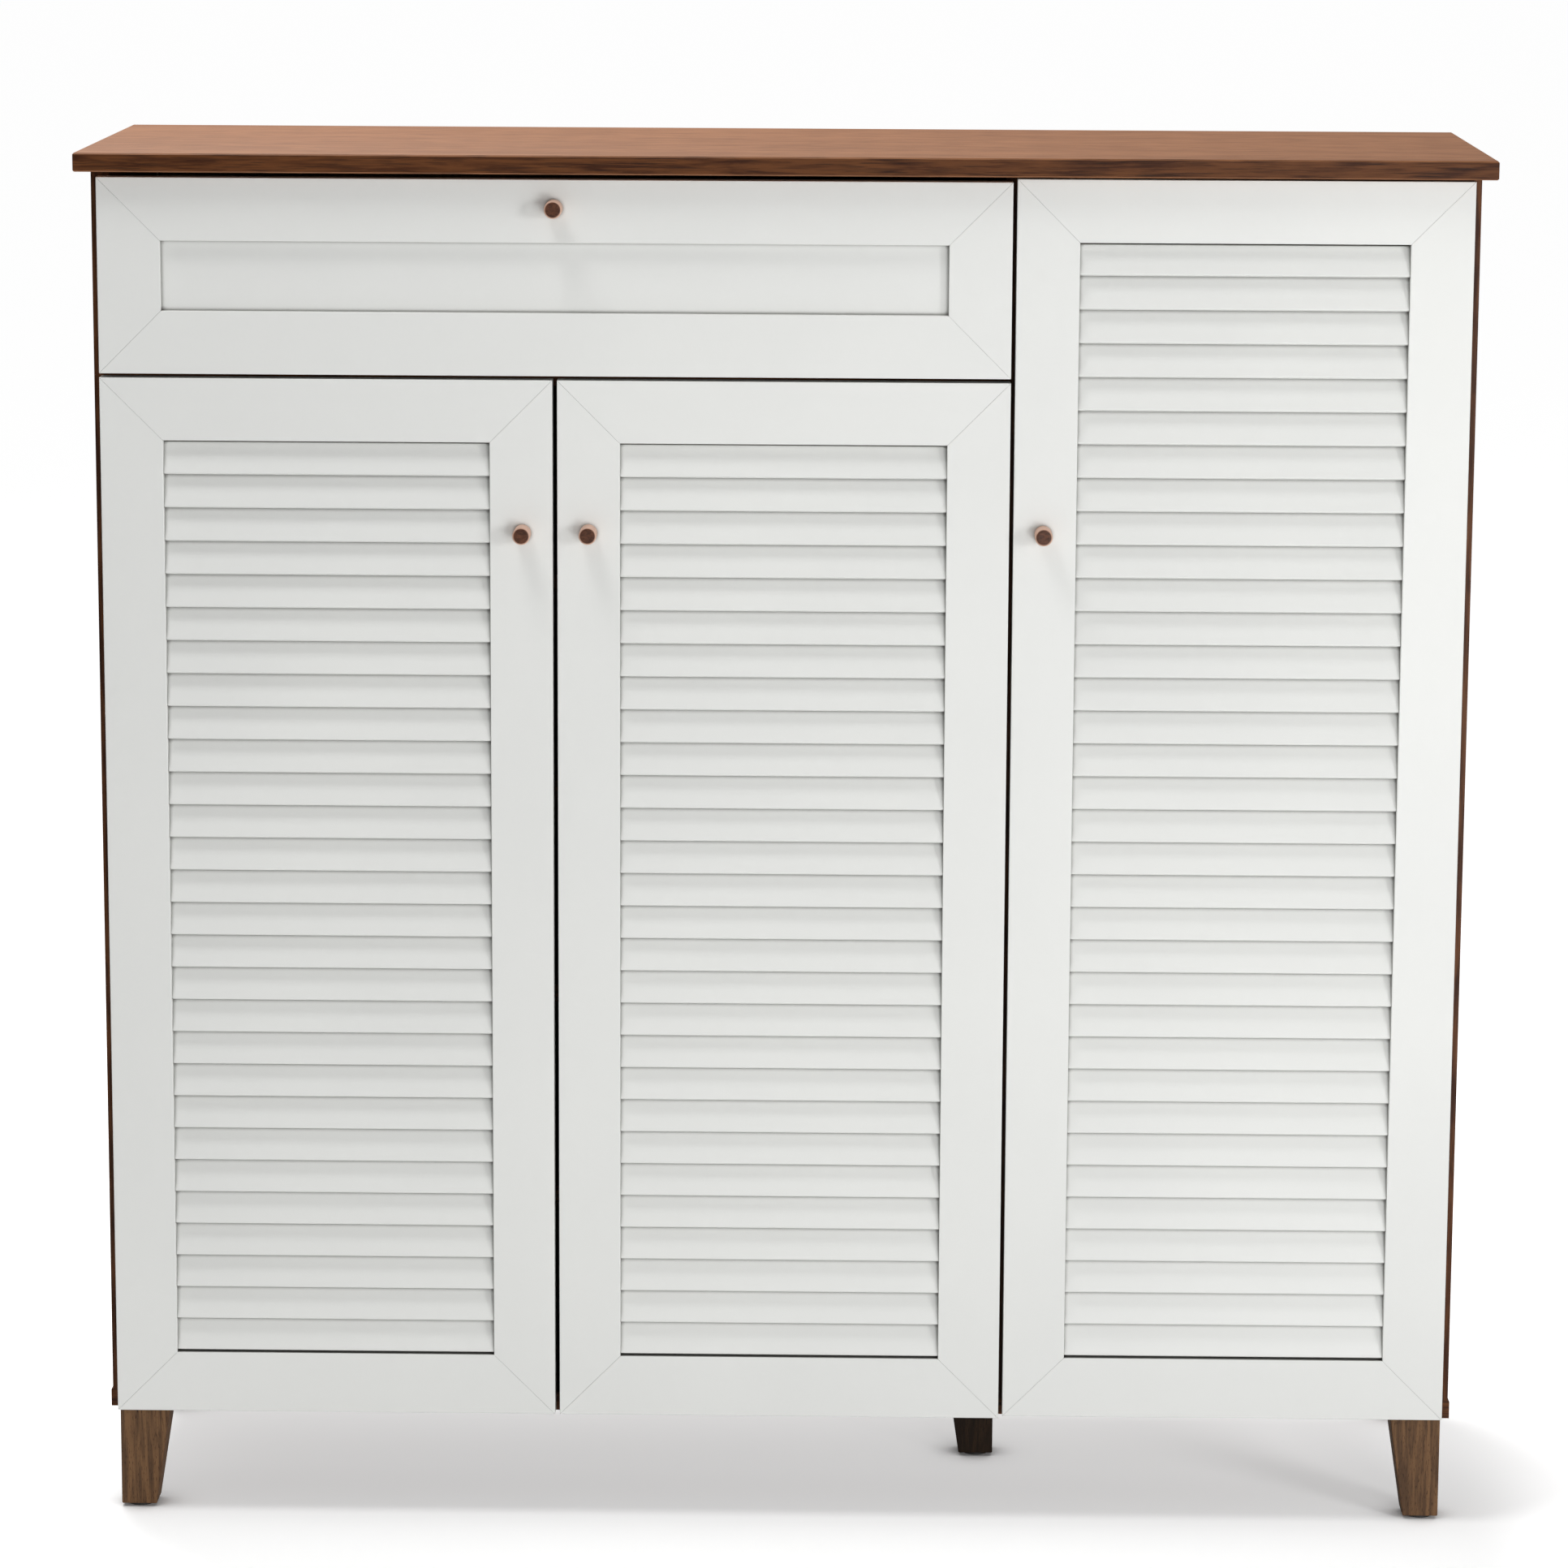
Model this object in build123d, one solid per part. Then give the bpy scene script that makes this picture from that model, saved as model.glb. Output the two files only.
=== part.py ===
"""Shoe cabinet: walnut carcass on tapered feet, three louvred doors and one wide drawer.

Units are millimetres. Z is up with the floor at 0, the fronts face -Y, and X runs left to right.
Depths are written as distance behind the doors' front plane, and slab() turns them into row Y.
"""
from build123d import *
import math
import os

# ---------------------------------------------------------------- driving dimensions
WIDTH = 1200.0            # top panel, left to right
HEIGHT = 1200.0           # floor to the top's upper face
BOARD = 15.0              # side, partition, deck and shelf thickness
TOP_THICK = 16.0
TOP_FRONT = -12.0         # depth of the top's front edge (it overhangs the fronts)
TOP_BACK = 367.0
SIDE_X = 589.5            # outer faces of the side panels
BASE_X = 591.0            # half width of the base board
BASE_Z = 93.5
BASE_THICK = 16.0
CARCASS_FRONT = 21.0      # depth of the carcass's front edges
CARCASS_BACK = 362.0
BACK_THICK = 3.0
PARTITION_X = 194.75      # centre of the vertical partition
DECK_Z = 1002.5           # underside of the deck below the drawer
SHELF_FRONT = 46.0
SHELF_PLAY = 0.5

FRONT_THICK = 18.0        # doors and drawer front
MEMBER = 53.5             # width of every stile and rail
MITRE_GAP = 0.12
EDGE_R = 0.7
DOORS = {                 # x0, x1, z0, z1, number of slats, hinge side, hinge heights
    "left_door": (-582.5, -196.8, 96.0, 1009.0, 28, "left", (196.0, 909.0)),
    "centre_door": (-192.7, 193.0, 96.0, 1009.0, 28, "right", (196.0, 909.0)),
    "right_door": (196.5, 582.5, 98.0, 1182.0, 34, "right", (196.0, 556.0, 1090.0)),
}
DRAWER = (-582.5, 193.0, 1012.5, 1179.0)
PANEL_RECESS = 7.0
PANEL_THICK = 6.0
PANEL_HOUSING = 5.0

SLAT_THICK = 6.0
SLAT_WIDTH = 32.9
SLAT_TILT = 15.5          # degrees from vertical, top leaning back
SLAT_DEPTH = 1.3          # depth of the lower front edge
SLAT_START = 2.3          # first slat's lower edge above the bottom rail
SLAT_PITCH = 28.72
SLAT_HOUSING = 5.0
SLAT_PLAY = 0.15

KNOB_R = 7.5
KNOB_LONG = 20.0
KNOBS = {                 # x and z of the knob centres
    "left_door": (-222.5, 878.0),
    "centre_door": (-166.0, 878.5),
    "right_door": (222.0, 880.0),
    "drawer": (-194.75, 1155.0),
}

PIVOT_IN = 8.2            # hinge axis, from the door's hinge edge
PIVOT_DEPTH = 7.0         # hinge axis, behind the door's front face
PIN_R = 1.2
CUP_IN = 22.0             # hinge cup centre, from the door's hinge edge
CUP_R = 17.45
CUP_WALL = 0.55
CUP_FLOOR = 4.0           # depth of the cup hole's bottom

FOOT_X = 583.5            # outer faces of the corner feet
FOOT_TOP = 44.5
FOOT_LOW = 31.0
GLIDE_H = 3.0

BOX_SIDE = 12.0           # drawer box boards
BOX_HEIGHT = 118.0
BOX_BACK = 318.0          # depth of the drawer box's rear face
SLIDE_GAP = 12.5          # carcass to drawer side
SLIDE_Z = 1030.0          # lower face of the cabinet runner
STEEL = 1.2
FRONT_ROLLER_R = 9.0
REAR_ROLLER_R = 10.5
FRONT_ROLLER_DEPTH = 36.0
REAR_ROLLER_DEPTH = 312.0

# ---------------------------------------------------------------- derived values
ORIGIN_DEPTH = (TOP_BACK - KNOB_LONG) / 2      # row Y = depth - ORIGIN_DEPTH
TOP_Z = HEIGHT - TOP_THICK
FLOOR_Z = BASE_Z + BASE_THICK                  # inside floor of the carcass
SIDE_IN = SIDE_X - BOARD
PART_L = PARTITION_X - BOARD / 2
PART_R = PARTITION_X + BOARD / 2
SHELF_CLEAR = (DECK_Z - FLOOR_Z - 4 * BOARD) / 5
SHELF_Z = [FLOOR_Z + SHELF_CLEAR * (k + 1) + BOARD * k for k in range(5)]
PIN_DEPTHS = (76.0, 316.0)

nodes = {}


# ---------------------------------------------------------------- helpers
def slab(x0, x1, d0, d1, z0, z1):
    """Box between two corners, with depths given behind the doors' front plane."""
    box = Box(x1 - x0, d1 - d0, z1 - z0)
    return Pos((x0 + x1) / 2, (d0 + d1) / 2 - ORIGIN_DEPTH, (z0 + z1) / 2) * box


def rod(radius, start, end, grow=0.0):
    """Cylinder between two points (x, depth, z), along one of the three axes."""
    a = Vector(start[0], start[1] - ORIGIN_DEPTH, start[2])
    b = Vector(end[0], end[1] - ORIGIN_DEPTH, end[2])
    way = (b - a).normalized()
    plane = Plane(origin=a - way * grow, z_dir=way)
    return extrude(plane * Circle(radius), (b - a).length + 2 * grow)


def prism_xz(points, d0, d1):
    """Polygon in X and Z, extruded from depth d0 to depth d1."""
    plane = Plane(origin=(0, d0 - ORIGIN_DEPTH, 0), x_dir=(1, 0, 0), z_dir=(0, -1, 0))
    return extrude(plane * make_face(Polyline(*points, close=True)), -(d1 - d0))


def prism_plan(points, z0, z1):
    """Polygon in X and depth, extruded from z0 to z1."""
    flat = [(x, d - ORIGIN_DEPTH) for x, d in points]
    return extrude(Plane.XY.offset(z0) * make_face(Polyline(*flat, close=True)), z1 - z0)


def prism_side(points, x0, x1):
    """Polygon in depth and Z, extruded from x0 to x1."""
    plane = Plane(origin=(x0, 0, 0), x_dir=(0, 1, 0), z_dir=(1, 0, 0))
    flat = [(d - ORIGIN_DEPTH, z) for d, z in points]
    return extrude(plane * make_face(Polyline(*flat, close=True)), x1 - x0)


def front_edges(shape, along):
    """Long edges on the front face of a frame member."""
    face = shape.faces().sort_by(Axis.Y)[0]
    return face.edges().filter_by(along)


def frame_members(x0, x1, z0, z1):
    """Two stiles and two rails, mitred at the corners, with eased front edges."""
    m = MEMBER
    g = MITRE_GAP
    stiles = [
        [(x0, z0 + g), (x0 + m, z0 + m + g), (x0 + m, z1 - m - g), (x0, z1 - g)],
        [(x1, z0 + g), (x1 - m, z0 + m + g), (x1 - m, z1 - m - g), (x1, z1 - g)],
    ]
    rails = [
        [(x0 + g, z0), (x0 + m + g, z0 + m), (x1 - m - g, z0 + m), (x1 - g, z0)],
        [(x0 + g, z1), (x0 + m + g, z1 - m), (x1 - m - g, z1 - m), (x1 - g, z1)],
    ]
    made = []
    for outline, along in [(s, Axis.Z) for s in stiles] + [(r, Axis.X) for r in rails]:
        member = prism_xz(outline, 0.0, FRONT_THICK)
        made.append(fillet(front_edges(member, along), EDGE_R))
    return made[:2], made[2:]


def cut(shape, tools):
    """Subtract every tool that reaches the shape."""
    box = shape.bounding_box()
    near = []
    for tool in tools:
        other = tool.bounding_box()
        if (other.min.X < box.max.X and other.max.X > box.min.X
                and other.min.Y < box.max.Y and other.max.Y > box.min.Y
                and other.min.Z < box.max.Z and other.max.Z > box.min.Z):
            near.append(tool)
    return shape - near if near else shape


# ---------------------------------------------------------------- shelf pins and their holes
pins = []
pin_holes = []


def pin_set(x_left, x_right, levels):
    """Four pins under each shelf, and spare holes one step above and below."""
    for z in levels:
        for depth in PIN_DEPTHS:
            for wall, inward in ((x_left, 1), (x_right, -1)):
                pins.append(rod(2.5, (wall - 6.3 * inward, depth, z - 2.5), (wall + 8 * inward, depth, z - 2.5)))
                for step in (-32.0, 0.0, 32.0):
                    height = z - 2.5 + step
                    pin_holes.append(rod(2.55, (wall - 6.8 * inward, depth, height), (wall + inward, depth, height)))


pin_set(-SIDE_IN, PART_L, SHELF_Z[:4])
pin_set(PART_R, SIDE_IN, SHELF_Z)

# ---------------------------------------------------------------- cam fittings and their holes
cams = []
cam_holes = []
CAM_DEPTHS = (52.0, 338.0)


def cam_joint(face, into, edge, along):
    """Cam in a board's face, with its bolt running out through the board's edge.

    face is the cam's centre on the board's face, into points into that board, edge is the
    distance to the joint, and along points across the joint into the mating board.
    """
    into = Vector(*into)
    along = Vector(*along)
    centre = Vector(*face)
    middle = centre + into * (BOARD / 2)
    seat = centre + into * 12.0
    cams.append(rod(7.4, tuple(centre), tuple(seat)))
    cam_holes.append(rod(7.5, tuple(centre - into), tuple(centre + into * 12.2)))
    near = middle + along * 7.7
    joint = middle + along * edge
    cams.append(rod(3.4, tuple(near), tuple(joint + along * 10.5)))
    cam_holes.append(rod(3.5, tuple(middle), tuple(joint + along * 11.0)))


for depth in CAM_DEPTHS:
    for x, side in ((-SIDE_IN, -1), (SIDE_IN, 1), (PART_L, 1)):
        cam_joint((x, depth, TOP_Z - 24), (side, 0, 0), 24, (0, 0, 1))
        cam_joint((x, depth, FLOOR_Z + 24), (side, 0, 0), 24, (0, 0, -1))
    cam_joint((-SIDE_IN + 24, depth, DECK_Z), (0, 0, 1), 24, (-1, 0, 0))
    cam_joint((PART_L - 24, depth, DECK_Z), (0, 0, 1), 24, (1, 0, 0))

# ---------------------------------------------------------------- feet positions
feet = {                  # outer corner x, outer depth, way in along x, way in along depth
    "foot_front_left": (-FOOT_X, CARCASS_FRONT + 1, 1, 1),
    "foot_front_right": (FOOT_X, CARCASS_FRONT + 1, -1, 1),
    "foot_rear_left": (-FOOT_X, CARCASS_BACK - 6, 1, -1),
    "foot_rear_right": (FOOT_X, CARCASS_BACK - 6, -1, -1),
    "foot_centre": (193.0, 193.0, -1, 1),
}
bolts = []
bolt_holes = []
glides = []
for name, (x, depth, sx, sy) in feet.items():
    centre = (x + sx * FOOT_LOW / 2, depth + sy * FOOT_LOW / 2)
    bolts.append(rod(4.0, (*centre, BASE_Z - 40), (*centre, BASE_Z + 12)))
    bolt_holes.append(rod(4.05, (*centre, BASE_Z - 41), (*centre, BASE_Z + 12.5)))
    glides.append(chamfer(rod(12.0, (*centre, 0), (*centre, GLIDE_H)).edges().sort_by(Axis.Z)[0], 0.8))

# ---------------------------------------------------------------- carcass boards
drill = pin_holes + cam_holes + bolt_holes
top = slab(-WIDTH / 2, WIDTH / 2, TOP_FRONT, TOP_BACK, TOP_Z, HEIGHT)
top = chamfer(top.faces().sort_by(Axis.Z)[-1].edges() + top.faces().sort_by(Axis.Z)[0].edges(), 1.2)
nodes["top_panel"] = cut(top, drill)
nodes["left_side_panel"] = cut(slab(-SIDE_X, -SIDE_IN, CARCASS_FRONT, CARCASS_BACK, FLOOR_Z, TOP_Z), drill)
nodes["right_side_panel"] = cut(slab(SIDE_IN, SIDE_X, CARCASS_FRONT, CARCASS_BACK, FLOOR_Z, TOP_Z), drill)
base = slab(-BASE_X, BASE_X, CARCASS_FRONT, CARCASS_BACK, BASE_Z, FLOOR_Z)
base = fillet(base.faces().sort_by(Axis.Z)[-1].edges().filter_by(Axis.Y), 1.4)
nodes["base_board"] = cut(base, drill)
nodes["centre_partition"] = cut(slab(PART_L, PART_R, CARCASS_FRONT, CARCASS_BACK, FLOOR_Z, TOP_Z), drill)
nodes["drawer_deck"] = cut(slab(-SIDE_IN, PART_L, CARCASS_FRONT, CARCASS_BACK, DECK_Z, DECK_Z + BOARD), drill)
BACK_X = SIDE_X - 1.5
nodes["back_panel_left"] = slab(-BACK_X, PARTITION_X - 0.5, CARCASS_BACK, CARCASS_BACK + BACK_THICK,
                                BASE_Z + 1.5, TOP_Z)
nodes["back_panel_right"] = slab(PARTITION_X + 0.5, BACK_X, CARCASS_BACK, CARCASS_BACK + BACK_THICK,
                                 BASE_Z + 1.5, TOP_Z)
for k in range(4):
    nodes[f"left_shelf_{k + 1}"] = slab(-SIDE_IN + SHELF_PLAY, PART_L - SHELF_PLAY, SHELF_FRONT,
                                        CARCASS_BACK - 1, SHELF_Z[k], SHELF_Z[k] + BOARD)
for k in range(5):
    nodes[f"right_shelf_{k + 1}"] = slab(PART_R + SHELF_PLAY, SIDE_IN - SHELF_PLAY, SHELF_FRONT,
                                         CARCASS_BACK - 1, SHELF_Z[k], SHELF_Z[k] + BOARD)
nodes["shelf_pins"] = pins
nodes["cam_fittings"] = cams

# ---------------------------------------------------------------- feet
for name, (x, depth, sx, sy) in feet.items():
    rings = []
    for z, size in ((GLIDE_H, FOOT_LOW), (BASE_Z, FOOT_TOP)):
        centre = (x + sx * size / 2, depth + sy * size / 2 - ORIGIN_DEPTH, z)
        rings.append(Plane(origin=centre) * Rectangle(size, size))
    foot = loft(Sketch() + rings, ruled=True)
    foot = fillet(foot.edges() - foot.faces().sort_by(Axis.Z)[-1].edges(), 1.2)
    nodes[name] = cut(foot, bolt_holes)
nodes["foot_bolts"] = bolts
nodes["foot_glides"] = glides


# ---------------------------------------------------------------- hinges
def hinge_point(edge, inward, x, depth):
    """Point given from the door's hinge edge, inwards and behind the front face."""
    return (edge + inward * x, depth)


def hinge_arm(edge, inward, wall, z):
    """Cranked arm with its pin eye, and the plate that screws to the carcass wall."""
    def at(x, depth):
        return hinge_point(edge, inward, x, depth)

    low = PIVOT_DEPTH - 2.05
    neck = prism_plan([at(PIVOT_IN, low), at(23.8, low), at(23.8, 24.7), at(14.0, 24.7), at(14.0, 22.2),
                       at(21.3, 22.2), at(21.3, 7.4), at(PIVOT_IN, 7.4)], z - 4.5, z + 4.5)
    eye_x, eye_d = at(PIVOT_IN, PIVOT_DEPTH)
    eye = rod(2.05, (eye_x, eye_d, z - 4.5), (eye_x, eye_d, z + 4.5))
    bore = rod(PIN_R + 0.1, (eye_x, eye_d, z - 6), (eye_x, eye_d, z + 6))
    body = prism_plan([at(11.5, 22.2), at(14.0, 22.2), at(14.0, 78.0), at(11.5, 78.0)], z - 8, z + 8)
    arm = neck + eye + body - bore
    screws = [rod(2.2, (at(5.0, 0)[0], d, z), (at(16.0, 0)[0], d, z)) for d in (48.0, 68.0)]
    arm = arm - screws
    gap = abs(wall - edge)
    plate = prism_plan([at(gap, 40.0), at(11.45, 40.0), at(11.45, 76.0), at(gap, 76.0)], z - 9, z + 9)
    wings = prism_plan([at(gap, 50.0), at(gap + 1.6, 50.0), at(gap + 1.6, 66.0), at(gap, 66.0)], z - 24, z + 24)
    return arm, (plate + wings) - screws


def hinge_cup(edge, inward, z):
    """Pressed cup with its flange, and the pin across it."""
    cx = edge + inward * CUP_IN
    outer = rod(CUP_R, (cx, CUP_FLOOR + 0.05, z), (cx, FRONT_THICK + 0.6, z))
    inner = rod(CUP_R - CUP_WALL, (cx, CUP_FLOOR + 0.5, z), (cx, FRONT_THICK + 4, z))
    rim = rod(19.0, (cx, FRONT_THICK, z), (cx, FRONT_THICK + STEEL, z))
    ears = slab(cx - 8, cx + 8, FRONT_THICK, FRONT_THICK + STEEL, z - 27, z + 27)
    holes = [rod(1.9, (cx, FRONT_THICK - 1, z + s), (cx, FRONT_THICK + 3, z + s)) for s in (-23, 23)]
    px = edge + inward * PIVOT_IN
    pin = rod(PIN_R, (px, PIVOT_DEPTH, z - CUP_R), (px, PIVOT_DEPTH, z + CUP_R)) & outer
    return (outer + rim + ears + pin) - (inner - pin) - holes


arms = []
for name, (x0, x1, z0, z1, count, side, heights) in DOORS.items():
    edge, inward = (x0, 1) if side == "left" else (x1, -1)
    wall = {"left_door": -SIDE_IN, "centre_door": PART_L, "right_door": SIDE_IN}[name]
    for z in heights:
        arms += hinge_arm(edge, inward, wall, z)
nodes["hinge_arms"] = arms


# ---------------------------------------------------------------- door bumpers
def bumper(x, z, radius):
    """Soft pad on a carcass front edge, just clear of the closed door."""
    return rod(radius, (x, CARCASS_FRONT - 2.4, z), (x, CARCASS_FRONT, z))


nodes["door_bumpers"] = [bumper(-206.0, 103.0, 3.5), bumper(-183.0, 103.0, 3.5),
                         bumper(-206.0, 1005.9, 2.6), bumper(-183.0, 1005.9, 2.6),
                         bumper(207.0, 104.0, 3.5), bumper(199.2, 1168.0, 2.3)]


# ---------------------------------------------------------------- louvred doors
def slat_outline(z, height, grow=0.0):
    """Tilted slat section in depth and Z, lower front corner at height z."""
    t = math.radians(SLAT_TILT)
    up = (math.sin(t), math.cos(t))
    back = (math.cos(t), -math.sin(t))
    corners = [(-grow, -grow), (height + grow, -grow), (height + grow, SLAT_THICK + grow), (-grow, SLAT_THICK + grow)]
    return [(SLAT_DEPTH + up[0] * a + back[0] * b, z + up[1] * a + back[1] * b) for a, b in corners]


def knob_parts(x, z):
    """Turned knob and the screw that holds it from behind."""
    knob = rod(KNOB_R, (x, -KNOB_LONG, z), (x, 0, z))
    knob = chamfer(knob.edges().sort_by(Axis.Y)[0], 0.7)
    knob = knob - rod(2.05, (x, -13, z), (x, 1, z))
    screw = rod(2.0, (x, -12.5, z), (x, FRONT_THICK + 0.1, z)) + rod(4.0, (x, FRONT_THICK, z), (x, 20.3, z))
    slot = slab(x - 3.0, x + 3.0, 19.3, 21, z - 0.5, z + 0.5) + slab(x - 0.5, x + 0.5, 19.3, 21, z - 3.0, z + 3.0)
    hole = rod(2.1, (x, -1, z), (x, FRONT_THICK + 1, z))
    return knob, screw - slot, hole


for name, (x0, x1, z0, z1, count, side, heights) in DOORS.items():
    stiles, rails = frame_members(x0, x1, z0, z1)
    sx0 = x0 + MEMBER - SLAT_HOUSING
    sx1 = x1 - MEMBER + SLAT_HOUSING
    top_z = z1 - MEMBER
    slats = []
    slots = []
    for k in range(count):
        z = z0 + MEMBER + SLAT_START + k * SLAT_PITCH
        height = min(SLAT_WIDTH, (top_z - 1.1 - z) / math.cos(math.radians(SLAT_TILT)))
        slat = prism_side(slat_outline(z, height), sx0, sx1)
        slats.append(fillet(slat.edges().filter_by(Axis.X), 1.2))
        for wall, inner in ((sx0 - 0.2, x0 + MEMBER + 1), (x1 - MEMBER - 1, sx1 + 0.2)):
            slots.append(prism_side(slat_outline(z, height, SLAT_PLAY), wall, inner))
    knob, screw, hole = knob_parts(*KNOBS[name])
    edge, inward = (x0, 1) if side == "left" else (x1, -1)
    cup_holes = [rod(CUP_R + 0.05, (edge + inward * CUP_IN, CUP_FLOOR, z), (edge + inward * CUP_IN, 19, z))
                 for z in heights]
    nodes[f"{name}_stiles"] = [cut(s, slots + cup_holes + [hole]) for s in stiles]
    nodes[f"{name}_rails"] = rails
    nodes[f"{name}_slats"] = slats
    nodes[f"{name}_knob"] = knob
    nodes[f"{name}_knob_screw"] = screw
    nodes[f"{name}_hinge_cups"] = [hinge_cup(edge, inward, z) for z in heights]

# ---------------------------------------------------------------- drawer
x0, x1, z0, z1 = DRAWER
stiles, rails = frame_members(x0, x1, z0, z1)
h = PANEL_HOUSING
groove = slab(x0 + MEMBER - h - 0.2, x1 - MEMBER + h + 0.2, PANEL_RECESS - 0.1, PANEL_RECESS + PANEL_THICK + 0.1,
              z0 + MEMBER - h - 0.2, z1 - MEMBER + h + 0.2)
nodes["drawer_front_panel"] = slab(x0 + MEMBER - h, x1 - MEMBER + h, PANEL_RECESS, PANEL_RECESS + PANEL_THICK,
                                   z0 + MEMBER - h, z1 - MEMBER + h)
box_l = -SIDE_IN + SLIDE_GAP
box_r = PART_L - SLIDE_GAP
box_z = SLIDE_Z + 3.7
bottom_z = box_z + 8.0
bottom_groove = slab(box_l + 6.8, box_r - 6.8, 12.3, BOX_BACK - 6.7, bottom_z - 0.1, bottom_z + 3.1)
knob, screw, hole = knob_parts(*KNOBS["drawer"])
nodes["drawer_front_stiles"] = [cut(s, [groove, bottom_groove]) for s in stiles]
nodes["drawer_front_rails"] = [cut(r, [groove, bottom_groove, hole]) for r in rails]
nodes["drawer_side_left"] = cut(slab(box_l, box_l + BOX_SIDE, FRONT_THICK, BOX_BACK, box_z, box_z + BOX_HEIGHT),
                                [bottom_groove])
nodes["drawer_side_right"] = cut(slab(box_r - BOX_SIDE, box_r, FRONT_THICK, BOX_BACK, box_z, box_z + BOX_HEIGHT),
                                 [bottom_groove])
nodes["drawer_back"] = cut(slab(box_l + BOX_SIDE, box_r - BOX_SIDE, BOX_BACK - BOX_SIDE, BOX_BACK,
                                box_z, box_z + BOX_HEIGHT), [bottom_groove])
nodes["drawer_bottom"] = slab(box_l + 7, box_r - 7, 12.5, BOX_BACK - 7, bottom_z, bottom_z + 3)
nodes["drawer_knob"] = knob
nodes["drawer_knob_screw"] = screw


# ---------------------------------------------------------------- drawer slides
def at_wall(wall, inward, x):
    """Distance x from the carcass wall, towards the drawer."""
    return wall + inward * x


def span(wall, inward, a, b, d0, d1, za, zb):
    """Slab given by distances from the carcass wall and heights above the runner's lower face."""
    xa, xb = sorted((at_wall(wall, inward, a), at_wall(wall, inward, b)))
    return slab(xa, xb, d0, d1, SLIDE_Z + za, SLIDE_Z + zb)


def axle(wall, inward, a, b, radius, depth, z):
    """Cylinder across the slide between two distances from the carcass wall."""
    return rod(radius, (at_wall(wall, inward, a), depth, SLIDE_Z + z), (at_wall(wall, inward, b), depth, SLIDE_Z + z))


FRONT_ROLLER_Z = 13.3
REAR_ROLLER_Z = 12.0
cabinet_runners = []
drawer_runners = []
front_rollers = []
rear_rollers = []
for wall, inward in ((-SIDE_IN, 1), (PART_L, -1)):
    d = FRONT_ROLLER_DEPTH
    channel = span(wall, inward, 0, STEEL, 24, 345, 0, 26)
    channel += span(wall, inward, 0, 10.5, 24, 345, 0, STEEL)
    channel += span(wall, inward, 0, 8.5, 60, 345, 26 - STEEL, 26)
    channel += span(wall, inward, 0, 10.5, 343, 345, 0, 8)
    channel += axle(wall, inward, 0.5, 10.1, 2.5, d, FRONT_ROLLER_Z)
    channel += axle(wall, inward, 10.1, 10.8, 4.0, d, FRONT_ROLLER_Z)
    channel -= [axle(wall, inward, -1, 3, 2.2, deep, 13) for deep in (90, 190, 300)]
    cabinet_runners.append(channel)
    roller = axle(wall, inward, 2.0, 9.8, FRONT_ROLLER_R, d, FRONT_ROLLER_Z)
    front_rollers.append(roller - axle(wall, inward, 1, 12, 2.6, d, FRONT_ROLLER_Z))

    d = REAR_ROLLER_DEPTH
    member = span(wall, inward, 12.5 - STEEL, 12.5, 20, 320, 2.5, 23.8)
    member += span(wall, inward, 3.0, 12.5, 20, d - 13, 23.8 - STEEL, 23.8)
    member += span(wall, inward, 12.5 - STEEL, 23.5, 20, BOX_BACK, 2.5, 2.5 + STEEL)
    member += axle(wall, inward, 2.7, 12.0, 2.5, d, REAR_ROLLER_Z)
    member += axle(wall, inward, 2.0, 2.7, 4.0, d, REAR_ROLLER_Z)
    drawer_runners.append(member)
    roller = axle(wall, inward, 3.0, 10.8, REAR_ROLLER_R, d, REAR_ROLLER_Z)
    rear_rollers.append(roller - axle(wall, inward, 1, 12, 2.6, d, REAR_ROLLER_Z))
nodes["cabinet_runners"] = cabinet_runners
nodes["drawer_runners"] = drawer_runners
nodes["rail_rollers"] = front_rollers
nodes["drawer_rollers"] = rear_rollers


# ---------------------------------------------------------------- export
def solids_of(shape):
    """Flat list of the solids in one node."""
    group = shape if isinstance(shape, list) else [shape]
    return [solid for item in group for solid in item.solids()]


os.makedirs("parts", exist_ok=True)
for name, shape in nodes.items():
    solids = solids_of(shape)
    part = solids[0] if len(solids) == 1 else Compound(children=solids)
    part.label = name
    export_step(part, f"parts/{name}.step")
print(len(nodes), "nodes")
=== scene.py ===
"""Shoe cabinet in walnut and white: finishes, turned knobs, fixings and the studio round the frame."""

import math

import bmesh
import bpy
from mathutils import Matrix, Vector


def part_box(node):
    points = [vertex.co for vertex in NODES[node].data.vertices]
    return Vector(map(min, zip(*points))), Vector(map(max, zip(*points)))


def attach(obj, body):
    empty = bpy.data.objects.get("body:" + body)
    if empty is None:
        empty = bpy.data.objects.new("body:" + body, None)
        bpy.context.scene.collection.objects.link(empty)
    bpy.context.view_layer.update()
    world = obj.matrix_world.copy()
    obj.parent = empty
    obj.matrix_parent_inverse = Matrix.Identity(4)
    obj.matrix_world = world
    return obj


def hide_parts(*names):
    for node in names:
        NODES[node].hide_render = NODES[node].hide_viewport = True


bl_info = {
    "name": "Louvred Shoe Cabinet",
    "version": (1, 0, 0),
    "blender": (4, 5, 0),
    "location": "View3D > Sidebar > Cabinet",
    "description": "Finishes and fixings for a walnut shoe cabinet with louvred doors",
    "category": "Object",
}

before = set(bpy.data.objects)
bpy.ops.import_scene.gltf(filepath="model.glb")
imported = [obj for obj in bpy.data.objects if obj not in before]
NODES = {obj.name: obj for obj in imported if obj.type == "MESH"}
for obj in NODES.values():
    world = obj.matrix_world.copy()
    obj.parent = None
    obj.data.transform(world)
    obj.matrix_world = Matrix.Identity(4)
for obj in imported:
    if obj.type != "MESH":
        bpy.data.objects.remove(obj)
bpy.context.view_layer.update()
MM = 0.001
TINY = 1e-7

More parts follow.
